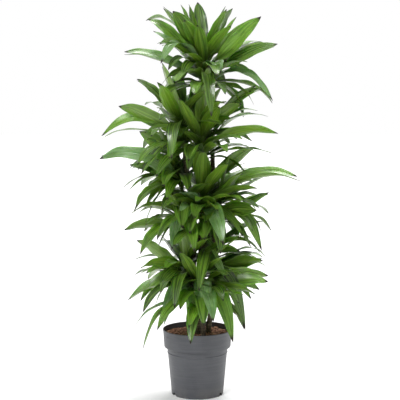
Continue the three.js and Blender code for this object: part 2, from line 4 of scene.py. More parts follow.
import bpy
import mathutils
import numpy as np
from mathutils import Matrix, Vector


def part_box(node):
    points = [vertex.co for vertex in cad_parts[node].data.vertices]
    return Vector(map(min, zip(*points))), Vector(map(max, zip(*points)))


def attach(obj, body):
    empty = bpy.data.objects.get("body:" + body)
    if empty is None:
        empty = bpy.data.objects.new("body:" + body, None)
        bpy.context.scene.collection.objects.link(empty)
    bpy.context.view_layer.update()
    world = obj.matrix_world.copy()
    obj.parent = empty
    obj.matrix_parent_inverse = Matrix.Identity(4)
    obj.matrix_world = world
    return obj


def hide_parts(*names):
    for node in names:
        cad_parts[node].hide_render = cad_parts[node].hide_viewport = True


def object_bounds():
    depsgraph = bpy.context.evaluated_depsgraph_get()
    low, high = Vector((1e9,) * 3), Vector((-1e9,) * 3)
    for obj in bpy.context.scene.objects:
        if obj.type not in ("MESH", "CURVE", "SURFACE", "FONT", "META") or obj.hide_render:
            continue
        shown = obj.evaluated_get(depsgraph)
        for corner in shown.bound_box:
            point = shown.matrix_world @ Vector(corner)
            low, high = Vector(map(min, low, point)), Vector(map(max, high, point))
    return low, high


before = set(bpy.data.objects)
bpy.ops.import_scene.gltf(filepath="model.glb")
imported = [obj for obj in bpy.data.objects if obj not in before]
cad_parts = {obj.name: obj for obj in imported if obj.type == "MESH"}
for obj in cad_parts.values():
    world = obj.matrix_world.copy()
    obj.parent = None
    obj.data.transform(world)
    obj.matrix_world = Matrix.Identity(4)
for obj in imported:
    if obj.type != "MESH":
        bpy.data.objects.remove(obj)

cad_box = [list(corner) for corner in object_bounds()]

# ---- camera, light and floor ----
# The plant stands on a plain white floor in an even white studio, seen from the front and a little
# above. One wide soft lamp shines from above and behind, and a weaker one from the front left.
CAMERA_PLACE = (0.009, -3.5, 1.0)
CAMERA_TILT = 84.7  # degrees up from straight down
CAMERA_LENS = 92.1
WALL_LIGHT = 0.33  # the light that the white walls give
FLOOR_SIZE = 60.0
WHITE = (0.96, 0.96, 0.96, 1)

scene = bpy.context.scene
camera = bpy.data.objects.new("camera", bpy.data.cameras.new("camera"))
camera.data.lens = CAMERA_LENS
camera.location = CAMERA_PLACE
camera.rotation_euler = (math.radians(CAMERA_TILT), 0, 0)
scene.collection.objects.link(camera)
scene.camera = camera
scene.view_settings.view_transform = "Standard"

world = bpy.data.worlds.new("white studio")
world.use_nodes = True
world_tree = world.node_tree
backdrop = world_tree.nodes["Background"]
backdrop.inputs["Color"].default_value = (1, 1, 1, 1)
seen = world_tree.nodes.new("ShaderNodeLightPath").outputs["Is Camera Ray"]
level = world_tree.nodes.new("ShaderNodeMapRange")
level.inputs["To Min"].default_value = WALL_LIGHT
level.inputs["To Max"].default_value = 1.0  # the walls as the camera sees them
world_tree.links.new(seen, level.inputs["Value"])
world_tree.links.new(level.outputs["Result"], backdrop.inputs["Strength"])
scene.world = world


def soft_sun(name, away, spread_angle, strength):
    """A distant lamp in the direction away, with a wide disc for soft shadows."""
    lamp = bpy.data.lights.new(name, "SUN")
    lamp.energy = strength
    lamp.angle = math.radians(spread_angle)
    holder = bpy.data.objects.new(name, lamp)
    holder.rotation_euler = mathutils.Vector(away).to_track_quat("Z", "Y").to_euler()
    scene.collection.objects.link(holder)


soft_sun("top", away=(0.3, 0.9, 2.0), spread_angle=30, strength=3.2)
soft_sun("key", away=(-1.3, -2.0, 1.9), spread_angle=25, strength=1.8)


def new_material(name, **constants):
    """A material with one glossy shader, whose even values are set on its own sockets."""
    material = bpy.data.materials.new(name)
    material.use_nodes = True
    shader = material.node_tree.nodes["Principled BSDF"]
    for socket, value in constants.items():
        shader.inputs[socket.replace("_", " ")].default_value = value
    return material, material.node_tree, shader


half_floor = FLOOR_SIZE / 2
floor_mesh = bpy.data.meshes.new("floor")
floor_mesh.from_pydata(
    [(-half_floor, -half_floor, 0), (half_floor, -half_floor, 0), (half_floor, half_floor, 0),
     (-half_floor, half_floor, 0)], [], [(0, 1, 2, 3)])
floor = bpy.data.objects.new("floor", floor_mesh)
scene.collection.objects.link(floor)
floor_white, _, _ = new_material("floor white", Base_Color=WHITE, Roughness=0.9)
floor_mesh.materials.append(floor_white)

# ---- nursery pot ----
# A thin moulded pot of grey recycled plastic: a stepped rim band, a bead where the band meets the
# tapered body, and two drain notches on each side of its foot. It is one piece, satin and a bit
# dusty, and stands loose on its base.
pot_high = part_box("nursery_pot")[1]
POT_HEIGHT = pot_high.z
RIM_RADIUS = pot_high.x
WALL = 0.002
FLOOR_THICKNESS = 0.0022
BAND_BOTTOM = 0.166
BEAD_Z = 0.148
BEAD_RISE = 0.0018  # from the body out
FOOT_RADIUS = 0.09
FOOT_HEIGHT = 0.008
BODY_TOP_RADIUS = 0.103
NECK_RADIUS = 0.106
BAND_RADIUS = 0.1155
NOTCH_TURNS = (28, 152, 208, 332)  # degrees around the pot, from +X
NOTCH_RADIUS = 0.011
NOTCH_START = 0.077  # from the pot's middle
CORNER_CUT = 0.0012
POT_COLUMNS = 384


def eased(corners, cut, steps=5):
    """A line with its corners rounded: each corner is left at cut before it and joined again at cut
    after it, or at two fifths of a short side, along a quadratic curve that has the corner as its knee."""
    before, at, after = corners[:-2], corners[1:-1], corners[2:]
    back = before - at
    on = after - at
    back_length = np.linalg.norm(back, axis=1, keepdims=True)
    on_length = np.linalg.norm(on, axis=1, keepdims=True)
    enter = at + back / back_length * np.minimum(cut, 0.4 * back_length)
    leave = at + on / on_length * np.minimum(cut, 0.4 * on_length)
    t = np.linspace(0, 1, steps)[None, :, None]
    curve = (1 - t) ** 2 * enter[:, None] + 2 * t * (1 - t) * at[:, None] + t**2 * leave[:, None]
    return np.concatenate([corners[:1], curve.reshape(-1, 2), corners[-1:]])


def all_round(columns):
    """Angles evenly spaced all the way round, from 0."""
    return np.linspace(0, 2 * np.pi, columns, endpoint=False)


def turned(profile, columns, foot=None):
    """A profile of radius and height turned about Z: x = r cos a, y = r sin a. Where foot gives a
    height for each angle, points lower than it are raised to it."""
    angle = all_round(columns)
    radius, height = profile[:, :1], profile[:, 1:] + 0 * angle
    if foot is not None:
        height = np.maximum(height, foot)
    return np.stack([radius * np.cos(angle), radius * np.sin(angle), height], axis=-1)


def closed_tube(rings, start, finish):
    """A closed surface through rings of points: quads from each ring to the next, and a fan of
    triangles from the first ring to the point start and from the last ring to the point finish.
    Rings turn anticlockwise, seen against the way from start to finish."""
    rows, columns = rings.shape[:2]
    ring = np.arange(rows * columns).reshape(rows, columns)
    after = np.roll(ring, -1, axis=1)
    quads = np.stack([ring[:-1], after[:-1], after[1:], ring[1:]], axis=-1).reshape(-1, 4)
    first = np.full(columns, rows * columns)
    fans = [np.stack([after[0], ring[0], first], -1), np.stack([ring[-1], after[-1], first + 1], -1)]
    points = np.concatenate([rings.reshape(-1, 3), [start], [finish]])
    return points, quads, np.concatenate(fans)


angle = all_round(POT_COLUMNS)
off_notch = np.abs((angle[:, None] - np.radians(NOTCH_TURNS) + np.pi) % (2 * np.pi) - np.pi).min(axis=1)
notch_arch = np.sqrt(np.maximum(0, NOTCH_RADIUS**2 - (off_notch * FOOT_RADIUS) ** 2))
taper_z = np.array([FOOT_HEIGHT, NOTCH_RADIUS + 0.0025, 0.05, 0.096, BEAD_Z - 0.0042])
taper_radius = np.interp(taper_z, taper_z[[0, -1]], (FOOT_RADIUS + 0.0006, BODY_TOP_RADIUS))

# The wall's profile as radius and height, up the outside, over the rim and down the inside.
wall_profile = np.array([
    # foot and tapered body
    (FOOT_RADIUS - 0.0012, 0.0), (FOOT_RADIUS, 0.0015), *zip(taper_radius, taper_z),
    # bead
    (BODY_TOP_RADIUS + BEAD_RISE, BEAD_Z - 0.0034), (BODY_TOP_RADIUS + BEAD_RISE, BEAD_Z - 0.0006),
    (BODY_TOP_RADIUS + 0.0006, BEAD_Z + 0.0002),
    # neck and shoulder
    (NECK_RADIUS, BAND_BOTTOM - 0.0015), (BAND_RADIUS - 0.0012, BAND_BOTTOM - 0.0002),
    (BAND_RADIUS, BAND_BOTTOM + 0.0015),
    # rim band, with its thicker lip
    (RIM_RADIUS - 0.0007, POT_HEIGHT - 0.0058), (RIM_RADIUS, POT_HEIGHT - 0.005),
    (RIM_RADIUS, POT_HEIGHT - 0.0012), (RIM_RADIUS - 0.001, POT_HEIGHT),
    (RIM_RADIUS - 0.0018, POT_HEIGHT), (RIM_RADIUS - 0.0026, POT_HEIGHT - 0.001),
    # inside
    (BAND_RADIUS - WALL, BAND_BOTTOM + WALL), (NECK_RADIUS - WALL, BAND_BOTTOM + WALL),
    (BODY_TOP_RADIUS - WALL, BEAD_Z - 0.004), (FOOT_RADIUS - WALL, FOOT_HEIGHT + WALL),
    (FOOT_RADIUS - WALL, 0.0),
])
wall_rings = turned(eased(wall_profile, CORNER_CUT), POT_COLUMNS, notch_arch)[:, ::-1]
wall_rows = len(wall_rings)
ring = np.arange(wall_rows * POT_COLUMNS).reshape(wall_rows, POT_COLUMNS)
onward = np.roll(ring, -1, axis=0)
after = np.roll(ring, -1, axis=1)
wall_quads = np.stack([ring, after, np.roll(after, -1, axis=0), onward], axis=-1).reshape(-1, 4)
pot_wall = (wall_rings.reshape(-1, 3), wall_quads, np.zeros((0, 3), int))

# The floor: a disc whose edge is let into the wall, and is cut back where the notches run in.
disc_reach = np.where(notch_arch > 0, NOTCH_START, FOOT_RADIUS - 0.4 * WALL)
disc_profile = [(0.3, 0.0), (0.7, 0.0), (1.0, 0.0), (1.0, FLOOR_THICKNESS), (0.7, FLOOR_THICKNESS),
                (0.3, FLOOR_THICKNESS)]
disc_rings = np.array([
    np.stack([share * disc_reach * np.cos(angle), share * disc_reach * np.sin(angle),
              0 * angle + height], axis=-1) for share, height in disc_profile])
pot_floor = closed_tube(disc_rings, (0, 0, 0), (0, 0, FLOOR_THICKNESS))


def put(tree, value, socket):
    """Links another socket to a socket, or sets a plain value on it."""
    if isinstance(value, bpy.types.NodeSocket):
        tree.links.new(value, socket)
    else:
        socket.default_value = value


def node(tree, kind, inputs=None, **settings):
    """Adds a node of a kind to a tree, with its settings and inputs."""
    made = tree.nodes.new("ShaderNode" + kind)
    for name, value in settings.items():
        setattr(made, name, value)
    for name, value in (inputs or {}).items():
        put(tree, value, made.inputs[name])
    return made


def blend(tree, share, low, high):
    """Mixes two colours, each a socket or three numbers, by a share from 0 to 1."""
    mixer = node(tree, "Mix", data_type="RGBA")
    for socket, value in ((0, share), (6, low), (7, high)):
        put(tree, (*value, 1) if isinstance(value, tuple) else value, mixer.inputs[socket])
    return mixer.outputs[2]


def between(tree, value, low, high, to_low=0.0, to_high=1.0):
    """Carries a value's range from low to high over to another range, with soft ends."""
    return node(tree, "MapRange", {0: value, 1: low, 2: high, 3: to_low, 4: to_high},
                interpolation_type="SMOOTHSTEP").outputs[0]


def maths(tree, operation, first, second=0.0):
    """One sum on two values, each a socket or a number."""
    return node(tree, "Math", {0: first, 1: second}, operation=operation).outputs[0]


def tint(tree, colour, mask, strength, other):
    """A colour mixed with another by a mask times a strength."""
    return blend(tree, maths(tree, "MULTIPLY", mask, strength), colour, other)


def new_group(name, inputs, outputs):
    """An empty node group with named inputs, each with its kind and first value, and outputs."""
    group = bpy.data.node_groups.new(name, "ShaderNodeTree")
    for label, kind, value in inputs:
        socket = group.interface.new_socket(label, in_out="INPUT", socket_type="NodeSocket" + kind)
        if value is not None:
            socket.default_value = value
    for label, kind in outputs:
        group.interface.new_socket(label, in_out="OUTPUT", socket_type="NodeSocket" + kind)
    return group, group.nodes.new("NodeGroupInput").outputs, group.nodes.new("NodeGroupOutput").inputs


# Soft-edged patches: cloudy noise of a size, cut between two levels.
patches, given, result = new_group(
    "patches",
    [("Place", "Vector", None), ("Per metre", "Float", 10.0),
     ("Low", "Float", 0.4), ("High", "Float", 0.6)],
    [("Mask", "Float")],
)
cloud = node(patches, "TexNoise", {"Vector": given["Place"], "Scale": given["Per metre"], "Detail": 4.0})
mask = between(patches, cloud.outputs["Fac"], given["Low"], given["High"])
patches.links.new(mask, result["Mask"])


def grouped(tree, group, **inputs):
    """Places a group in a material, with its own values, and gives its mask."""
    placed = node(tree, "Group", node_tree=group)
    for name, value in inputs.items():
        put(tree, value, placed.inputs[name.replace("_", " ")])
    return placed.outputs["Mask"]


def bump(tree, height, depth, strength=1.0, under=None):
    """A bump of a height mask, depth metres deep, over another bump."""
    made = node(tree, "Bump", {"Height": height, "Distance": depth, "Strength": strength})
    if under is not None:
        tree.links.new(under, made.inputs["Normal"])
    return made.outputs[0]


def surface(tree, shader, colour, roughness, normal):
    """Links a material's colour, roughness and bump to its shader."""
    for name, value in (("Base Color", colour), ("Roughness", roughness), ("Normal", normal)):
        tree.links.new(value, shader.inputs[name])


def add_piece(name, tubes, material, stands_for=(), marks=None):
    """One mesh piece of closed tubes, smooth, with its marks as named values on its points."""
    counts = np.cumsum([0] + [len(points) for points, _, _ in tubes])
    quads = [face for (_, quad, _), first in zip(tubes, counts) for face in (quad + first).tolist()]
    fans = [face for (_, _, fan), first in zip(tubes, counts) for face in (fan + first).tolist()]
    mesh = bpy.data.meshes.new(name)
    mesh.from_pydata(np.concatenate([points for points, _, _ in tubes]).tolist(), [], quads + fans)
    mesh.polygons.foreach_set("use_smooth", np.ones(len(quads) + len(fans), bool))
    for label, values in (marks or {}).items():
        values = np.concatenate(values).astype(np.float32)
        kind = "FLOAT" if values.ndim == 1 else "FLOAT_VECTOR"
        field = mesh.attributes.new(label, kind, "POINT")
        field.data.foreach_set("value" if values.ndim == 1 else "vector", values.ravel())
    mesh.materials.append(material)
    piece = bpy.data.objects.new(name, mesh)
    scene.collection.objects.link(piece)
    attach(piece, "root")
    if stands_for:
        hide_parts(*stands_for)
    return piece


plastic, tree, shader = new_material("grey pot plastic", Specular_IOR_Level=0.42)
place = node(tree, "TexCoord").outputs["Object"]
clouds = grouped(tree, patches, Place=place, Per_metre=14.0, Low=0.35, High=0.7)
specks = grouped(tree, patches, Place=place, Per_metre=420.0, Low=0.6, High=0.72)
grain = grouped(tree, patches, Place=place, Per_metre=1600.0, Low=0.2, High=0.8)
height = node(tree, "SeparateXYZ", {0: place}).outputs["Z"]
around = node(tree, "Mapping", {"Vector": place, "Scale": (1.0, 1.0, 24.0)}).outputs[0]
drawn_rings = grouped(tree, patches, Place=around, Per_metre=9.0, Low=0.42, High=0.62)
dust = maths(tree, "MULTIPLY", between(tree, height, 0.05, 0.0), clouds)
colour = blend(tree, clouds, (0.075, 0.078, 0.088), (0.094, 0.097, 0.107))
colour = tint(tree, colour, drawn_rings, 0.35, (0.112, 0.115, 0.125))
colour = tint(tree, colour, specks, 0.25, (0.15, 0.15, 0.15))
colour = tint(tree, colour, dust, 0.5, (0.16, 0.15, 0.135))
fine = bump(tree, grain, 0.00008, 0.5)
surface(tree, shader, colour, between(tree, clouds, 0.0, 1.0, 0.42, 0.56),
        bump(tree, drawn_rings, 0.00025, 0.6, fine))
add_piece("pot", [pot_wall, pot_floor], plastic, ["nursery_pot"])

# ---- potting mix ----
# Coarse reddish bark and coir, filled to just under the rim: one low heap of mix pressed into the
# pot round the canes, and loose broken chips that lie on it at all angles. It is dry and matt on top.
soil_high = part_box("potting_soil")[1]
SOIL_EDGE_Z = 0.209
SOIL_FOOT_Z = 0.0026  # just over the pot's floor
SOIL_GAP = 0.0004  # from the pot's wall
SOIL_COLUMNS = 180
SOIL_HEAP = 0.0035
SOIL_LUMPS = ((0.0016, 0.035), (0.0012, 0.014), (0.0007, 0.006))  # height and spacing of each size
soil_radius = soil_high.x - 0.0003


def lumps(x, y, spacing, seed, waves=14):
    """A smooth random height, mostly from -1 to 1, over the plane: a fifth of the sum of sine waves of
    about one spacing, each with its own direction and phase."""
    draw = np.random.default_rng(seed)
    turn = draw.uniform(0, 2 * np.pi, waves)
    number = 2 * np.pi / (spacing * draw.uniform(0.7, 1.6, waves))
    phase = draw.uniform(0, 2 * np.pi, waves)
    run = x[..., None] * np.cos(turn) + y[..., None] * np.sin(turn)
    return np.sin(run * number + phase).sum(-1) / 5


def soil_height(x, y):
    """The top of the mix: a low heap, as the cosine of the distance from the middle, with lumps of
    three sizes that are lower near the pot's wall."""
    out = np.clip(np.hypot(x, y) / soil_high.x, 0, 1)
    heap = SOIL_HEAP * np.cos(np.pi / 2 * out)
    rough = sum(rise * lumps(x, y, spacing, seed + 1) for seed, (rise, spacing) in enumerate(SOIL_LUMPS))
    return SOIL_EDGE_Z + heap + rough * (1 - 0.6 * out**6)


soil_side = np.array([
    (NOTCH_START - 0.001, SOIL_FOOT_Z), (FOOT_RADIUS - WALL - SOIL_GAP, NOTCH_RADIUS + 0.004),
    (BODY_TOP_RADIUS - WALL - SOIL_GAP, BEAD_Z - 0.004),
    (NECK_RADIUS - WALL - SOIL_GAP, BAND_BOTTOM + 0.0025),
    (BAND_RADIUS - WALL - SOIL_GAP, BAND_BOTTOM + 0.0025), (soil_radius, SOIL_EDGE_Z - 0.004),
])
side_rings = turned(soil_side, SOIL_COLUMNS)
top_share = np.linspace(1, 0.02, 60)[:, None]
soil_angle = all_round(SOIL_COLUMNS)
top_x = top_share * soil_radius * np.cos(soil_angle)
top_y = top_share * soil_radius * np.sin(soil_angle)
top_rings = np.stack([top_x, top_y, soil_height(top_x, top_y)], axis=-1)
middle_height = float(soil_height(np.zeros(1), np.zeros(1))[0])
mix_body = closed_tube(np.concatenate([side_rings, top_rings]), (0, 0, SOIL_FOOT_Z), (0, 0, middle_height))

CHIP_COUNT = 900
CHIP_LENGTH = 0.0026  # half the length of the smallest chip
CHIP_REACH = 0.965  # share of the mix's radius that they lie within
CHIP_ROWS = 3
CHIP_COLUMNS = 6


def chip(place, size, tilt, turn, draw):
    """One bark chip: a flattened ball of a few rings, each corner moved in or out at random, drawn out
    along one way and thinned across another, then tilted and turned."""
    rise = np.linspace(-0.72, 0.72, CHIP_ROWS)[:, None]
    about = all_round(CHIP_COLUMNS)[None]
    girth = np.sqrt(1 - rise**2) * draw.uniform(0.5, 1.5, (CHIP_ROWS, CHIP_COLUMNS))
    shape = np.stack([girth * np.cos(about), girth * np.sin(about), rise + 0 * about], axis=-1)
    tube = closed_tube(shape, (0, 0, -1), (0, 0, 1))
    points = tube[0] * size
    cos_tilt, sin_tilt = math.cos(tilt), math.sin(tilt)
    cos_turn, sin_turn = math.cos(turn), math.sin(turn)
    lean = np.array([[1, 0, 0], [0, cos_tilt, -sin_tilt], [0, sin_tilt, cos_tilt]])
    spin = np.array([[cos_turn, -sin_turn, 0], [sin_turn, cos_turn, 0], [0, 0, 1]])
    return points @ lean.T @ spin.T + place, tube[1], tube[2]


chips = []
chip_tones = []
chip_draw = np.random.default_rng(41)
for _ in range(CHIP_COUNT):
    out = soil_high.x * CHIP_REACH * math.sqrt(chip_draw.uniform())
    way = chip_draw.uniform(0, 2 * np.pi)
    length = CHIP_LENGTH * (1 + 2.2 * chip_draw.uniform() ** 2)
    width = length * chip_draw.uniform(0.35, 0.8)
    thickness = length * chip_draw.uniform(0.15, 0.35)
    x = out * math.cos(way)
    y = out * math.sin(way)
    z = float(soil_height(np.array([x]), np.array([y]))[0]) + 0.3 * thickness
    z = min(z, soil_high.z - 0.0006)
    tilt = chip_draw.normal(0, 0.45)
    turn = chip_draw.uniform(0, 2 * np.pi)
    chips.append(chip(np.array([x, y, z]), np.array([length, width, thickness]), tilt, turn, chip_draw))
    chip_tones.append(np.full(CHIP_ROWS * CHIP_COLUMNS + 2, chip_draw.uniform()))


def mark(tree, name, output="Fac"):
    """A value that a mesh has on its points, by its name."""
    return node(tree, "Attribute", attribute_name=name).outputs[output]


def soil_material(name, chip_tone):
    """Bark mix: dark fines, red-brown bark and pale coir in patches, matt, with a crumbly bump. With
    chip_tone, each chip has a tone of its own."""
    material, tree, shader = new_material(name, Specular_IOR_Level=0.25)
    place = node(tree, "TexCoord").outputs["Object"]
    coarse = grouped(tree, patches, Place=place, Per_metre=120.0, Low=0.4, High=0.62)
    crumbs = grouped(tree, patches, Place=place, Per_metre=650.0, Low=0.38, High=0.62)
    pale = grouped(tree, patches, Place=place, Per_metre=260.0, Low=0.6, High=0.7)
    if chip_tone:
        tone = mark(tree, "tone")
        colour = blend(tree, tone, (0.15, 0.06, 0.04), (0.82, 0.45, 0.3))
        colour = tint(tree, colour, crumbs, 0.4, (0.26, 0.13, 0.08))
    else:
        colour = blend(tree, coarse, (0.09, 0.045, 0.03), (0.42, 0.22, 0.145))
        colour = tint(tree, colour, crumbs, 0.5, (0.2, 0.1, 0.06))
    colour = tint(tree, colour, pale, 0.6, (0.6, 0.38, 0.25))
    height = node(tree, "SeparateXYZ", {0: place}).outputs["Z"]
    # Painted shade: from 5 cm down to 2 cm above the pot's floor the mix is darkened almost to black, for
    # the shade inside the pot where it shows through the drain notches.
    colour = blend(tree, between(tree, height, 0.05, 0.02), colour, (0.02, 0.014, 0.01))
    rough = bump(tree, crumbs, 0.0006, 0.8)
    surface(tree, shader, colour, between(tree, crumbs, 0.0, 1.0, 0.8, 0.97),
            bump(tree, coarse, 0.001, 0.5, rough))
    return material


add_piece("potting_mix", [mix_body], soil_material("potting mix", False), ["potting_soil"])
bark_chips = add_piece("bark_chips", chips, soil_material("bark chips", True),
                       marks={"tone": chip_tones})
bark_chips.data.shade_flat()

# ---- canes ----
# Five woody stems, each rooted in the mix, some with branches. The bark is grey-brown, ringed by the
# scars of fallen leaves and finely cracked; towards each head of leaves it is young and green.
CM = 0.01
CANE_RADIUS = 0.0095
# Each run of a cane has its radius, points along it in cm, and the head of leaves that it carries.
CANES = {
    "cane_tall": [
        (CANE_RADIUS, [(0.8, 2.5, 9), (1, 2.6, 24), (2, 2.4, 45), (4.6, 3, 66), (5.4, 2.4, 78)], None),
        (0.0075, [(5.4, 2.45, 77), (5, 2, 86), (3.9, 1.4, 95)], "top"),
        (0.007, [(5, 2.8, 68), (4.2, 0.4, 73), (2.6, -1.6, 77)], "upper_right"),
    ],
    "cane_left": [
        (CANE_RADIUS, [(-2.2, 1.4, 9), (-1.6, 1, 24), (-1.4, 0.9, 44), (-1.2, 1, 58), (-2, 0.6, 70)], None),
        (0.0075, [(-2, 0.6, 69), (-3.6, -0.4, 77)], "upper_left"),
        (0.0065, [(-1.4, 0.9, 46), (-2.8, 0, 50)], "left"),
        (0.0065, [(-1.3, 1, 60), (-3.4, 2, 64.5)], "middle_left"),
    ],
    "cane_right": [
        (CANE_RADIUS, [(3.2, -0.2, 9), (4, 0, 24), (5.8, 0, 33), (5.4, 0.4, 46)], "middle_right"),
        (0.0065, [(4.9, 0, 28), (5.2, 2.2, 34)], "lower_right"),
    ],
    "cane_front": [
        (CANE_RADIUS, [(0, -1.4, 9), (0.2, -1.6, 24), (0.8, -1.2, 40), (1.3, -1.6, 52)], "middle"),
        (0.0065, [(0.2, -1.6, 26), (-1.8, -2.4, 31)], "lower_left"),
    ],
    "cane_low": [
        (0.0085, [(2.4, -4.6, 9), (2, -5, 22)], "low"),
    ],
}
# The leafy stretch of each shoot, from its lowest sheath to its crown, in cm.
SHOOTS = {
    "top": ((3.3, 1, 104), (2, 0.5, 118)),
    "upper_left": ((-4.5, -1, 85), (-5.5, -1, 96)),
    "upper_right": ((2, -2, 80.5), (0.2, -2.6, 92)),
    "middle_left": ((-5.3, 2.4, 71), (-6.5, 2, 82)),
    "middle": ((1.2, -2.8, 61), (2, -3, 72)),
    "middle_right": ((6.3, 0.8, 58), (7, 1, 70)),
    "left": ((-4, -0.8, 55), (-4.5, -1.2, 66)),
    "lower_left": ((-3, -2.8, 37), (-3.7, -3, 48)),
    "lower_right": ((4.8, 3.6, 41), (4.4, 4.1, 53)),
    "low": ((1.6, -5, 31), (1.2, -5, 42)),
}
SHOOT_RADIUS = 0.0056
SPEAR_LENGTH = 0.045  # the rolled young leaf past the crown
GREENING = 0.035  # the stretch below the leaves over which the bark turns green
CANE_WANDER = 0.035  # how much a stem's radius wanders, as a share of it
CANE_FLUTES = ((0.012, 3, 40), (0.01, 5, -70))  # each with its share of the radius, number and twist
SCAR_SPACING = 0.0085
SCAR_WIDTH = 0.0011
SCAR_RISE = 0.0006
CANE_COLUMNS = 28
CANE_STEP = 0.0011


def smooth_path(points, step):
    """A smooth line through points, and its length so far: between each two points a cubic whose
    slope at a point is half the way from the point before to the point after."""
    points = np.asarray(points, float)
    slope = np.gradient(points, axis=0)
    pieces = []
    for a, b, slope_a, slope_b in zip(points[:-1], points[1:], slope[:-1], slope[1:]):
        t = np.linspace(0, 1, max(2, int(np.linalg.norm(b - a) / step)), endpoint=False)[:, None]
        pieces.append((2 * t**3 - 3 * t**2 + 1) * a + (t**3 - 2 * t**2 + t) * slope_a
                      + (3 * t**2 - 2 * t**3) * b + (t**3 - t**2) * slope_b)
    line = np.concatenate(pieces + [points[-1:]])
    run = np.concatenate([[0], np.cumsum(np.linalg.norm(np.diff(line, axis=0), axis=1))])
    return line, run


def unit(vectors):
    """Vectors made one metre long."""
    return vectors / np.maximum(np.linalg.norm(vectors, axis=-1, keepdims=True), 1e-12)


def carried(line, radius_grid):
    """A circle carried along a line, with its own radius at each row and column: the circle's first
    way is X made square to the line, and its second is square to both."""
    along = unit(np.gradient(line, axis=0))
    first = unit(np.array([1.0, 0, 0]) - along[:, :1] * along)
    second = np.cross(along, first)
    turn = all_round(radius_grid.shape[1])
    out = first[:, None] * np.cos(turn)[None, :, None] + second[:, None] * np.sin(turn)[None, :, None]
    return line[:, None] + out * radius_grid[..., None]


def scar_rings(run, draw):
    """The rise of leaf scars along a stem, from 0 to 1: a narrow bell at each scar, at uneven steps."""
    places = np.cumsum(SCAR_SPACING * draw.uniform(0.6, 1.5, int(run[-1] / SCAR_SPACING) + 3))
    return np.exp(-((run[:, None] - places[None]) / SCAR_WIDTH) ** 2).max(1)


def spread(values, ends):
    """One value for each point of a closed tube: a grid of values, then one for each end."""
    return np.concatenate([np.reshape(values, (-1,) + np.shape(values)[2:]), np.asarray(ends, float)])


def stem_tube(radius, path, head, draw):
    """A bare stem and its leafy shoot: radius = a base that wanders a little and narrows into the
    shoot, times 1 plus the flutes' sines, plus a rise at each scar. Returns the tube and its marks:
    the place on the straightened stem, how young the bark is, and the scars."""
    points = [np.array(point) * CM for point in path]
    if head:
        foot, crown = (np.array(point) * CM for point in SHOOTS[head])
        tip = crown + unit(crown - foot) * SPEAR_LENGTH
        points += [foot, crown, tip]
    line, run = smooth_path(points, CANE_STEP)
    length = run[-1]
    scars = scar_rings(run, draw)
    base = radius * (1 + CANE_WANDER * lumps(run, 0 * run, 0.03, draw.integers(1000)))
    young = np.zeros_like(run)
    if head:
        shoot_start = length - SPEAR_LENGTH - np.linalg.norm(crown - foot)
        young = np.clip((run - shoot_start + GREENING) / GREENING, 0, 1)
        spear = np.clip((run - (length - SPEAR_LENGTH)) / SPEAR_LENGTH, 0, 1)
        base = base + (SHOOT_RADIUS - base) * young
        base = base * (1 - 0.93 * spear**1.3)
        scars = scars * (1 - young)
    else:
        cut_end = np.clip((length - run) / 0.004, 0, 1)
        base = base * np.sqrt(0.25 + 0.75 * cut_end)
    turn = all_round(CANE_COLUMNS)
    flat = np.zeros((len(run), CANE_COLUMNS))
    uneven = sum(share * np.sin(number * turn[None] + twist * run[:, None])
                 for share, number, twist in CANE_FLUTES)
    side = lumps(run[:, None] + flat, turn[None] * 0.006 + flat, 0.012, 7)
    grid = base[:, None] * (1 + uneven) + scars[:, None] * SCAR_RISE * (1 + 0.5 * side)
    tube = closed_tube(carried(line, grid), line[0], line[-1] + unit(line[-1] - line[-2]) * 0.0008)
    straight = np.stack([np.cos(turn)[None] * radius + flat, np.sin(turn)[None] * radius + flat,
                         run[:, None] + flat], axis=-1)
    return tube, {
        "straight": spread(straight, [(0, 0, -0.001), (0, 0, length + 0.001)]),
        "young": spread(young[:, None] + flat, [young[0], young[-1]]),
        "scar": spread(scars[:, None] + flat, [0, 0]),
    }


# Fine parallel lines along Z of the given place: noise drawn out to a length, cut between two levels.
fibres, given, result = new_group(
    "fibres",
    [("Place", "Vector", None), ("Across per metre", "Float", 900.0), ("Along share", "Float", 0.02),
     ("Low", "Float", 0.35), ("High", "Float", 0.65)],
    [("Mask", "Float")],
)
drawn = node(fibres, "CombineXYZ", {"X": 1.0, "Y": 1.0, "Z": given["Along share"]})
squeezed = node(fibres, "VectorMath", {0: given["Place"], 1: drawn.outputs[0]}, operation="MULTIPLY")
streaks = node(fibres, "TexNoise", {"Vector": squeezed.outputs[0], "Scale": given["Across per metre"],
                                    "Detail": 2.0})
mask = between(fibres, streaks.outputs["Fac"], given["Low"], given["High"])
fibres.links.new(mask, result["Mask"])

bark, tree, shader = new_material("cane bark", Specular_IOR_Level=0.3)
straight = mark(tree, "straight", "Vector")
young = mark(tree, "young")
scar = mark(tree, "scar")
cracks = grouped(tree, fibres, Place=straight, Across_per_metre=420.0, Along_share=0.12, Low=0.36, High=0.6)
blotches = grouped(tree, patches, Place=straight, Per_metre=60.0, Low=0.38, High=0.64)
flecks = grouped(tree, patches, Place=straight, Per_metre=500.0, Low=0.55, High=0.68)
banded = node(tree, "Mapping", {"Vector": straight, "Scale": (1.0, 1.0, 8.0)}).outputs[0]
bands = grouped(tree, patches, Place=banded, Per_metre=34.0, Low=0.4, High=0.62)
colour = blend(tree, blotches, (0.19, 0.155, 0.1), (0.36, 0.31, 0.22))
colour = tint(tree, colour, bands, 0.45, (0.12, 0.09, 0.055))
colour = blend(tree, cracks, colour, (0.1, 0.075, 0.048))
colour = tint(tree, colour, flecks, 0.4, (0.3, 0.27, 0.2))
colour = tint(tree, colour, scar, 0.7, (0.05, 0.036, 0.024))
green = blend(tree, blotches, (0.12, 0.2, 0.04), (0.2, 0.3, 0.07))
ridges = bump(tree, cracks, 0.0006, 0.7)
surface(tree, shader, blend(tree, young, colour, green), between(tree, young, 0.0, 1.0, 0.82, 0.5),
        bump(tree, bands, 0.0004, 0.5, ridges))

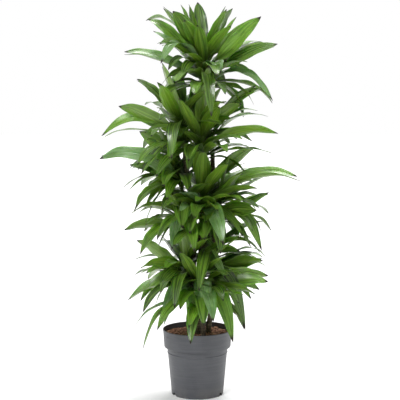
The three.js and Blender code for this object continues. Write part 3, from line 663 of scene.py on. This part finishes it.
cane_draw = np.random.default_rng(7)
for name, runs in CANES.items():
    built = [stem_tube(radius, path, head, cane_draw) for radius, path, head in runs]
    marks = {label: [values[label] for _, values in built] for label in ("straight", "young", "scar")}
    add_piece(name.replace("cane", "stem"), [tube for tube, _ in built], bark, [name], marks)

# ---- leaves ----
# Strap leaves that clasp the shoot at their foot and widen into a channelled blade, dark and glossy
# above and paler below, with parallel veins and a dried tip. Each whorl of the frame is read for the
# run of its leaves, and is rebuilt as one piece with full, waved blades.
STATION_LOW, STATION_HIGH = 0.42, 0.77  # places of the frame's two clear cross-sections of a leaf
TIP_REACH = 0.035  # no other corner of the frame stands so far from all its neighbours
MOST_WHORLS = 8  # no shoot of the frame has more
UP = np.array([0.0, 0.0, 1.0])
LEAF_ROWS = 30
ACROSS = np.array([-1, -0.93, -0.7, -0.45, -0.2, 0, 0.2, 0.45, 0.7, 0.93, 1])
OUTLINE = (0.52, -0.09, 1.57, 1.09, 0.86, 1.1, 0.65, 0.02)  # half widths from foot to tip
BLADE_THICKNESS = 0.0011  # of the midrib at the foot
TIP_THINNING = 0.0004  # how much thinner the midrib is at the tip
SHEATH_RADIUS = 0.0092
SHEATH_ROWS, SHEATH_COLUMNS = 9, 20
SHEATH_TONE = 0.6
FOOT_WRAP = 1.75  # radians each way that a leaf's foot reaches round the shoot
FOOT_DROP = 0.006  # how far below its root a leaf starts to clasp the shoot
FREE_FROM = 0.11  # the share of its length from which a leaf is free of the shoot
NARROWEST = 0.02  # least half width, as a share of the whole
CHANNEL = 0.4  # depth of the blade's channel at the foot, as a share of the half width
TWIST = 0.2  # radians
DROOP = 0.045  # the most that a tip hangs, as a share of the length
SWAY = 0.012
WAVE_COUNT = (2.0, 4.5)
WAVE_HEIGHT = (0.03, 0.1)  # as a share of the half width
# More leaves than the frame has room for. Each has its head, how far up the shoot it is rooted, its
# tip in cm, its width and arch in cm, its roll in radians, and its tone from dark to bright.
# Tones above about 0.82 also carry a painted pale sheen, the reflection of the overhead lamp.
OWN_LEAVES = [
    ("low", 0.9, (2.2, -19, 31.2), 6.2, 3, 0, 0.95),
    ("low", 0.35, (11.9, -14, 22.2), 6.2, 9, 0.7, 0.55),
    ("low", 0.2, (16.3, -6, 23.9), 5.6, 14, 1, 0.2),
    ("lower_right", 0.1, (22.3, -2, 47.7), 4.2, -0.8, 0.8, 0.25),
    ("lower_left", 0.8, (14.3, -11, 56.7), 4.6, 1.5, 0.7, 0.5),
    ("lower_left", 0.9, (4.6, -6, 58.8), 4.8, 0.8, 0.3, 0.15),
    ("lower_left", 0.7, (-6.2, -8, 60.4), 5.2, 1, -0.2, 0.8),
    ("middle", 0.15, (8.4, -20, 55.4), 6.2, 6, 0.25, 0.95),
    ("middle", 0.1, (-5.1, -20, 61.3), 5.8, 5, -0.2, 0.93),
    ("lower_left", 0.55, (9.5, -16, 42.8), 4.2, 6, 0.3, 0.9),
    ("lower_left", 0.45, (-12.5, -14, 39.1), 5.2, 3.5, -0.5, 0.3),
    ("low", 0.15, (-11.8, -15, 27.4), 5.6, 9, -0.7, 0.95),
    ("middle_right", 0.1, (21.9, -8, 50.9), 5, 8, 0.7, 0.35),
    ("top", 0.15, (-11.9, -12, 113.8), 5.4, 10, -0.3, 0.95),
    ("top", 0.2, (7.5, -17, 111), 5.6, 5, 0.1, 0.97),
    ("upper_left", 0.7, (-11.7, -6, 114.1), 5.4, 1, -0.3, 0.8),
    ("upper_right", 0.35, (3.9, -10, 113.6), 5.4, 1, 0.1, 0.8),
    ("top", 0.1, (-5.1, -14, 108.4), 5.4, 7, -0.1, 0.1),
    ("top", 0.35, (-17, 4, 130.6), 4.8, 2.5, -0.8, 0.5),
    ("upper_left", 0.6, (-13.6, -2, 108), 5, 1.5, -0.6, 0.6),
    ("middle_right", 0.45, (11.8, -6, 85.4), 5.2, 1.5, 0.7, 0.6),
    ("upper_right", 0.2, (22.2, -3, 105.3), 4.4, 6, 0.6, 0.4),
    ("low", 0.5, (18.5, -8, 34.7), 4.8, 5, 0.7, 0.5),
    ("lower_left", 0.2, (-19.5, -8, 33.3), 4.8, 5, -0.6, 0.55),
    ("lower_left", 0.15, (-16.4, -2, 38.7), 5.2, 3, -0.7, 0.2),
    ("middle", 0.6, (-2.5, -8, 89.6), 5.4, 1, -0.1, 0.8),
    ("middle", 0.5, (10.3, -10, 80.6), 5.2, 3, 0.5, 0.7),
    ("left", 0.5, (-16.2, -6, 78.6), 5, 3, -0.6, 0.4),
    ("middle_left", 0.3, (-16.7, -8, 88.9), 5, 3, -0.6, 0.75),
    ("low", 0.6, (24, -7, 41.5), 5.8, 0.8, 0.9, 0.75),
    ("low", 0.45, (21.4, -6, 37.2), 5, 3, 0.8, 0.6),
    ("low", 0.55, (-24.2, -4, 33.5), 4.4, 4.5, -0.7, 0.9),
    ("top", 0.9, (-2.9, 3, 134.8), 3.8, 0.4, 0.1, 0.6),
    ("top", 0.9, (-5.7, 3, 135), 3.6, 0.4, -0.1, 0.7),
    ("top", 0.75, (-11.5, -1, 134), 5.2, 0.6, -0.4, 0.3),
    ("top", 0.85, (9.6, 2, 133.6), 4.8, 0.6, 0.3, 0.1),
    ("top", 0.6, (21.2, -4, 130.4), 6.6, -1.3, 1.2, 0.8),
    ("top", 0.3, (-12.6, -9, 120.5), 5, 5, -0.5, 0.35),
    ("top", 0.2, (-9.5, -12, 112), 5.4, 6, -0.2, 0.15),
    ("upper_left", 0.8, (-20.6, -3, 108.9), 4.6, 1.6, -0.7, 0.2),
    ("middle_left", 0.4, (-23.2, -4, 80), 4.6, 0.3, -0.7, 0.3),
    ("middle_right", 0.1, (24.4, -6, 71), 5, 0.2, 0.8, 0.25),
    ("top", 0.35, (26.6, -7, 120.6), 6.2, 1, 0.9, 0.3),
    ("top", 0.5, (-15, -3, 125.4), 3.6, 1, -0.6, 0.92),
    ("top", 0.25, (-24.6, -2, 118.4), 4.6, 2.5, -0.9, 0.9),
    ("upper_left", 0.35, (-33, -2, 90), 4.8, 6.5, -0.8, 0.7),
    ("middle_left", 0.55, (-33.2, -2, 83), 5.2, 3, -1, 0.93),
    ("middle", 0.5, (33.8, -5, 76.5), 4.8, 5, 0.9, 0.8),
    ("top", 0.15, (25.4, -4, 101.3), 4.8, 7.5, 0.5, 0.92),
    ("low", 0.3, (-1.8, -19, 23.6), 6.4, 8, -0.15, 0.9),
]
# Of the frame's own leaves, those that end nearest to these points, in cm, get a painted pale sheen.
SHEEN_TIPS = [(2.8, -17, 28.5), (-6.5, -14, 57.0), (-16.0, -8, 24.0), (25.5, -5, 102.0)]
SHEEN_TONE = 0.93
DEPTH_SHIFTS = (0, -0.012, 0.012, -0.024, 0.024)  # tried on each added leaf, to keep it off the others
FILL_COUNT = 9  # short inner leaves on each shoot, where there is room
FILL_TRIES = 160
FILL_LENGTH = (0.13, 0.2)
FILL_WIDTH = (0.038, 0.05)
FILL_SHARE = (0.04, 0.9)  # how far up the shoot they are rooted
# Their tones come only from the darker part of the range: painted shade for the inside of the crown.
FILL_TONE = (0, 0.6)
FILL_OPEN = 0.9  # half the angle at the front that they leave open, so that the stems show
FILL_GAP = 0.013  # the least distance between two midribs
FILL_LOWEST = 0.25  # no tip of theirs hangs lower
FILL_INSET = 0.006  # from the sides of the frame's box
ROOT_OFFSET = 0.007  # from the shoot's axis to the foot of a midrib in the frame


def corners_of(node_name):
    """A frame node's corner points with doubles merged, and for each corner its neighbours."""
    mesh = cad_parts[node_name].data
    raw = np.empty(len(mesh.vertices) * 3)
    mesh.vertices.foreach_get("co", raw)
    raw = raw.reshape(-1, 3)
    _, first, index = np.unique(np.round(raw, 5), axis=0, return_index=True, return_inverse=True)
    points = raw[first]
    loops = np.empty(len(mesh.loops), np.int32)
    mesh.loops.foreach_get("vertex_index", loops)
    faces = index.ravel()[loops].reshape(-1, 3)
    edges = np.concatenate([faces[:, [0, 1]], faces[:, [1, 2]], faces[:, [2, 0]]])
    edges = np.unique(np.concatenate([edges, edges[:, ::-1]]), axis=0)
    edges = edges[edges[:, 0] != edges[:, 1]]
    starts = np.searchsorted(edges[:, 0], np.arange(len(points) + 1))
    return points, [edges[a:b, 1] for a, b in zip(starts[:-1], starts[1:])]


def read_section(corners):
    """A four-cornered cross-section: its middle, the way across, and the width. The margins are the two
    corners farthest apart, and the other two lie above and below the midrib."""
    apart = np.linalg.norm(corners[:, None] - corners[None], axis=-1)
    a, b = np.unravel_index(apart.argmax(), apart.shape)
    rest = [k for k in range(4) if k not in (a, b)]
    return corners[rest].mean(0), unit(corners[a] - corners[b]), apart[a, b]


def unraised(level, along):
    """A level way across a leaf, made square to its midrib."""
    return unit(level - along * (along * level).sum(-1, keepdims=True))


def read_leaves(node_name):
    """The leaves of one whorl. A tip has four neighbours, all far from it; they are the upper section,
    and their other neighbours are the lower one. The midrib is the quadratic curve through both
    sections' middles and the tip, whose foot and knee solve two equations."""
    points, near = corners_of(node_name)
    found = []
    for corner, beside in enumerate(near):
        if len(beside) != 4:
            continue
        if np.linalg.norm(points[beside] - points[corner], axis=1).min() < TIP_REACH:
            continue
        known = set(beside.tolist()) | {corner}
        below = sorted(set(np.concatenate([near[k] for k in beside]).tolist()) - known)
        if len(below) != 4:
            continue
        tip = points[corner]
        high, _, _ = read_section(points[beside])
        low, across_low, width = read_section(points[below])
        shares = np.array([[(1 - t) ** 2, 2 * t * (1 - t)] for t in (STATION_LOW, STATION_HIGH)])
        sides = np.array([low - STATION_LOW**2 * tip, high - STATION_HIGH**2 * tip])
        foot, knee = np.linalg.solve(shares, sides)
        along = unit((1 - STATION_LOW) * (knee - foot) + STATION_LOW * (tip - knee))
        flat = unraised(np.cross(unit((tip - foot) * (1, 1, 0)), UP), along)
        across_low = across_low * np.sign(across_low @ flat)
        roll = math.atan2(np.cross(flat, across_low) @ along, flat @ across_low)
        found.append({"foot": foot, "knee": knee, "tip": tip, "width": width, "roll": roll})
    return found


def free_leaf(head, share, tip, width, arch, roll, tone=None):
    """A leaf rooted a share of the way up a head's shoot. Its midrib's knee stands over the middle of
    the straight line from foot to tip by twice the arch. All its lengths are in metres."""
    low, high = (np.array(end) * CM for end in SHOOTS[head])
    base = low + (high - low) * share
    foot = base + unit((tip - base) * (1, 1, 0)) * ROOT_OFFSET
    knee = (foot + tip) / 2 + UP * 2 * arch
    return {"foot": foot, "knee": knee, "tip": tip, "width": width, "roll": roll,
            "tone": tone, "head": head, "share": share}


def bezier(a, b, c, t):
    """The quadratic curve from a to c with its knee at b."""
    return (1 - t) ** 2 * a + 2 * t * (1 - t) * b + t**2 * c


def rib_points(leaf):
    """Seven points along a leaf's midrib, from a quarter of the way out."""
    return bezier(leaf["foot"], leaf["knee"], leaf["tip"], np.linspace(0.25, 1, 7)[:, None])


def clearance(leaf, taken):
    """The least distance from a leaf's midrib to the midribs already there."""
    return np.linalg.norm(rib_points(leaf)[:, None] - np.concatenate(taken)[None], axis=-1).min()


def turned_about(vectors, axes, angles):
    """Vectors turned about axes by angles: v cos + (axis x v) sin, for v square to the axis."""
    return vectors * np.cos(angles) + np.cross(axes, vectors) * np.sin(angles)


def soft_step(value, low, high):
    """0 below low, 1 above high, and 3s^2 - 2s^3 between."""
    share = np.clip((value - low) / (high - low), 0, 1)
    return share * share * (3 - 2 * share)


def leaf_tube(leaf, axis, draw):
    """One blade as a closed skin over place t along the midrib and s across it, from -1 to 1.
    half width = width / 2 times a Bezier curve through the shares in OUTLINE;
    midrib = its quadratic curve, less a droop near the tip, plus a sideways sway of half a sine;
    rise of the blade over its midrib = a channel share times half width times |s| to 1.4, plus
    margin waves: s squared times a sine along t; skin = the rise plus or minus half the thickness,
    which falls off from the midrib to the margins; the foot wraps round the shoot and runs into it."""
    t = 1 - (1 - np.linspace(0, 1, LEAF_ROWS + 1)[:-1]) ** 1.15
    t = t[:, None]
    foot, knee, tip = leaf["foot"], leaf["knee"], leaf["tip"]
    line = bezier(foot, knee, tip, t)
    along = unit(2 * (1 - t) * (knee - foot) + 2 * t * (tip - knee))
    out = unit((tip - foot) * (1, 1, 0))
    level = np.cross(out, UP)
    flat = unraised(level, along)
    twist = draw.normal(0, TWIST)
    side = turned_about(flat, along, soft_step(t, 0, 0.45) * leaf["roll"] + twist * np.sin(np.pi * t) * t)
    face = np.cross(side, along)
    steps = len(OUTLINE) - 1
    outline = sum(math.comb(steps, k) * t**k * (1 - t) ** (steps - k) * share
                  for k, share in enumerate(OUTLINE))
    half = leaf["width"] / 2 * np.maximum(outline, NARROWEST) * draw.uniform(0.98, 1.08)
    length = np.linalg.norm(tip - foot)
    droop = soft_step(t, 0.72, 1.0) ** 1.5 * length * draw.uniform(0.0, DROOP)
    sway = np.sin(np.pi * t) * length * draw.normal(0, SWAY)
    line = line - UP * droop + side * sway

    s = np.concatenate([ACROSS, ACROSS[-2:0:-1]])[None]
    top = np.concatenate([np.ones(len(ACROSS)), -np.ones(len(ACROSS) - 2)])[None]
    channel = CHANNEL - 0.14 * soft_step(t, 0, 0.5) - 0.1 * soft_step(t, 0.6, 1)
    channel = channel * draw.uniform(0.75, 1.25)
    wave_count = draw.uniform(*WAVE_COUNT)
    phases = draw.uniform(0, 2 * np.pi, 2)
    phase = np.where(s > 0, phases[0], phases[1])
    wave = np.sin(2 * np.pi * wave_count * t + phase) * half * draw.uniform(*WAVE_HEIGHT)
    wave = wave * soft_step(t, 0.08, 0.3) * s**2
    rise = channel * half * np.abs(s) ** 1.4 + wave
    thick = (BLADE_THICKNESS - TIP_THINNING * t) * (1 - 0.75 * s**2)
    skin = np.where(top > 0, 0.5, -0.5) * thick
    skin = np.where(np.abs(s) == 1, 0, skin)
    blade = line[:, None] + side[:, None] * (s * half)[..., None] + face[:, None] * (rise + skin)[..., None]

    # The foot: an arc round the shoot that climbs along it.
    wrap = s * FOOT_WRAP
    climb = (t * length * 0.9 - FOOT_DROP)[..., None]
    on_axis = foot - out * ROOT_OFFSET + axis * climb
    level_out = unit(out - axis * (out @ axis))
    level_side = np.cross(axis, level_out) * (1 if np.cross(axis, level_out) @ level > 0 else -1)
    radius = (SHEATH_RADIUS - 0.0003 * top + 0.0012 * t)[..., None]
    hug = on_axis + radius * (np.cos(wrap)[..., None] * level_out + np.sin(wrap)[..., None] * level_side)
    free = soft_step(t, 0.0, FREE_FROM)[..., None]
    rings = hug * (1 - free) + blade * free

    rising = soft_step((tip - foot)[2] / length, -0.7, 0.5)
    shade = draw.uniform() * (0.38 + 0.55 * rising)  # the old leaves that hang are the darkest
    tone = np.full(rings.shape[:2], shade if leaf.get("tone") is None else leaf["tone"])
    place = np.stack([s * half.max() + 0 * t, t + 0 * s, top + 0 * t], axis=-1)
    tube = closed_tube(rings, rings[0].mean(0), tip - UP * droop[-1])
    return tube, {
        "place": spread(place, [(0, 0, 1), (0, 1, 1)]),
        "tone": spread(tone, [tone[0, 0]] * 2),
        "margin": spread(np.abs(s) + 0 * t, [0, 0]),
        "under": spread(np.where(top > 0, 0.0, 1.0) + 0 * t, [0, 0]),
    }


def sheath_tube(low, high):
    """The sleeve of old leaf feet round the shoot between two points: radius = a little less than the
    leaf feet's, growing with the square of the height, and drawn in at both ends."""
    t = np.linspace(0, 1, SHEATH_ROWS)
    line = low + (high - low) * t[:, None]
    radius = SHEATH_RADIUS - 0.0012 + 0.0009 * t**2
    radius = radius * np.sqrt(np.clip(1 - (2 * t - 1) ** 10, 0.3, 1))
    flat = np.zeros((SHEATH_ROWS, SHEATH_COLUMNS))
    tube = closed_tube(carried(line, radius[:, None] + flat), line[0], line[-1])
    turn = all_round(SHEATH_COLUMNS)
    place = np.stack([turn[None] * SHEATH_RADIUS + flat, 0.02 + flat, 1 + flat], axis=-1)
    return tube, {
        "place": spread(place, [(0, 0.02, 1)] * 2),
        "tone": spread(flat + SHEATH_TONE, [SHEATH_TONE] * 2),
        "margin": spread(flat, [0, 0]),
        "under": spread(flat, [0, 0]),
    }


# The leaf's finish. Place holds the distance from the midrib in metres, the share of the length,
# and which side it is; the veins run along the blade, and tones near 1 add a painted pale sheen.
leaf_green, tree, shader = new_material(
    "leaf green", Specular_IOR_Level=0.5, Coat_Roughness=0.25, Subsurface_Weight=0.35,
    Subsurface_Radius=(0.5, 1.0, 0.1), Subsurface_Scale=0.002)
tone = mark(tree, "tone")
margin = mark(tree, "margin")
under = mark(tree, "under")
parts = node(tree, "SeparateXYZ", {0: mark(tree, "place", "Vector")})
across, along = parts.outputs["X"], parts.outputs["Y"]
own = node(tree, "CombineXYZ", {"X": across, "Y": maths(tree, "MULTIPLY", tone, 3.0),
                                "Z": maths(tree, "MULTIPLY", along, 0.27)}).outputs[0]
veins = grouped(tree, fibres, Place=own, Across_per_metre=900.0, Along_share=0.008, Low=0.35, High=0.65)
ribs = grouped(tree, fibres, Place=own, Across_per_metre=210.0, Along_share=0.02, Low=0.42, High=0.58)
cloudy = grouped(tree, patches, Place=own, Per_metre=26.0, Low=0.35, High=0.66)
spots = grouped(tree, patches, Place=own, Per_metre=240.0, Low=0.64, High=0.74)
midrib = between(tree, maths(tree, "ABSOLUTE", across), 0.0028, 0.0006)
young_end = between(tree, along, 0.1, 0.0)
painted_foot_shade = between(tree, along, 0.5, 0.06)
tip_end = between(tree, along, 0.93, 0.975)
edge = between(tree, margin, 0.93, 1.0)
dark = blend(tree, cloudy, (0.012, 0.036, 0.001), (0.026, 0.068, 0.002))
bright = blend(tree, cloudy, (0.13, 0.31, 0.005), (0.24, 0.5, 0.02))
# The pale mint of the painted sheen.
sheen_mint_colour = blend(tree, cloudy, (0.16, 0.31, 0.12), (0.31, 0.48, 0.26))
upper = blend(tree, between(tree, tone, 0.0, 0.85), dark, bright)
upper = tint(tree, upper, ribs, 0.7, (0.28, 0.52, 0.06))
upper = tint(tree, upper, veins, 0.6, (0.012, 0.04, 0.002))
upper = tint(tree, upper, midrib, 0.3, (0.22, 0.38, 0.05))
lower = blend(tree, tone, (0.045, 0.11, 0.004), (0.19, 0.36, 0.015))
lower = tint(tree, lower, ribs, 0.5, (0.26, 0.44, 0.04))
lower = tint(tree, lower, veins, 0.4, (0.02, 0.06, 0.003))
lower = tint(tree, lower, midrib, 0.5, (0.26, 0.4, 0.06))
colour = blend(tree, under, upper, lower)
# Painted sheen: tones from 0.82 to 0.94 turn the blade a pale mint, broken by the veins, for the reflection
# of the overhead lamp.
painted_sheen = maths(tree, "SUBTRACT", between(tree, tone, 0.82, 0.94), maths(tree, "MULTIPLY", veins, 0.8))
colour = blend(tree, maths(tree, "MAXIMUM", painted_sheen), colour, sheen_mint_colour)
# Painted shade: the half of each blade nearest its foot darkens towards the foot, for the shade inside the
# crown.
colour = tint(tree, colour, painted_foot_shade, 0.55, (0.02, 0.05, 0.004))
colour = tint(tree, colour, young_end, 0.4, (0.2, 0.32, 0.06))
colour = tint(tree, colour, edge, 0.35, (0.18, 0.25, 0.05))
colour = tint(tree, colour, spots, 0.2, (0.12, 0.12, 0.04))
colour = blend(tree, tip_end, colour, (0.022, 0.013, 0.008))
roughness = between(tree, veins, 0.0, 1.0, 0.32, 0.42)
roughness = maths(tree, "MAXIMUM", roughness, maths(tree, "MULTIPLY", under, 0.45))
roughness = maths(tree, "MAXIMUM", roughness, maths(tree, "MULTIPLY", tip_end, 0.8))
fine = bump(tree, veins, 0.0002, 0.7)
surface(tree, shader, colour, roughness, bump(tree, ribs, 0.0014, 0.9, fine))
tree.links.new(between(tree, tip_end, 0.0, 1.0, 0.6, 0.0), shader.inputs["Coat Weight"])

whorls = {}
for head in SHOOTS:
    names = [f"leaves_{head}_{number + 1}" for number in range(MOST_WHORLS)]
    whorls[head] = [read_leaves(name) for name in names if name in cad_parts]
frame_leaves = [leaf for rings in whorls.values() for ring in rings for leaf in ring]
for tip in SHEEN_TIPS:
    nearest = min(frame_leaves, key=lambda leaf: np.linalg.norm(leaf["tip"] - np.array(tip) * CM))
    nearest["tone"] = SHEEN_TONE
taken = [rib_points(leaf) for leaf in frame_leaves]

leaf_draw = np.random.default_rng(23)
added = []
for head, share, tip, width, arch, roll, tone in OWN_LEAVES:
    tip = np.array(tip) * CM
    choices = [free_leaf(head, share, tip + (0, shift, 0), width * CM, arch * CM, roll, tone)
               for shift in DEPTH_SHIFTS]
    added.append(max(choices, key=lambda leaf: clearance(leaf, taken)))
    taken.append(rib_points(added[-1]))

box_low, box_high = np.array(cad_box) + [[FILL_INSET], [-FILL_INSET]]
for head, (foot, crown) in SHOOTS.items():
    room = FILL_COUNT
    for _ in range(FILL_TRIES):
        share = leaf_draw.uniform(*FILL_SHARE)
        turn = leaf_draw.uniform(-np.pi, np.pi)
        length = leaf_draw.uniform(*FILL_LENGTH)
        climb = 0.9 * share - 0.55 + leaf_draw.normal(0, 0.25)  # the low ones hang, the high ones rise
        width = leaf_draw.uniform(*FILL_WIDTH)
        roll = leaf_draw.normal(0, 0.3)
        level_reach = length * math.cos(climb)
        reach = (level_reach * math.cos(turn), level_reach * math.sin(turn), length * math.sin(climb))
        tip = (np.array(foot) + (np.array(crown) - foot) * share) * CM + reach
        leaf = free_leaf(head, share, tip, width, length * (0.24 - 0.16 * share), roll)
        inside = (tip > box_low).all() and (tip < box_high).all() and tip[2] > FILL_LOWEST
        open_front = abs(turn + np.pi / 2) < FILL_OPEN
        if room and inside and not open_front and clearance(leaf, taken) > FILL_GAP:
            leaf["tone"] = leaf_draw.uniform(*FILL_TONE)
            added.append(leaf)
            taken.append(rib_points(leaf))
            room -= 1
for leaf in added:
    rings = whorls[leaf["head"]]
    rings[int(leaf["share"] * len(rings))].append(leaf)

for head, rings in whorls.items():
    foot, crown = (np.array(end) * CM for end in SHOOTS[head])
    for number, leaves in enumerate(rings):
        low = foot + (crown - foot) * number / len(rings)
        high = foot + (crown - foot) * (number + 1) / len(rings)
        built = [sheath_tube(low, high)]
        built += [leaf_tube(leaf, unit(crown - foot), leaf_draw) for leaf in leaves]
        marks = {label: [values[label] for _, values in built]
                 for label in ("place", "tone", "margin", "under")}
        add_piece(f"whorl_{head}_{number + 1}", [tube for tube, _ in built], leaf_green,
                  [f"leaves_{head}_{number + 1}"], marks)

bpy.context.view_layer.update()
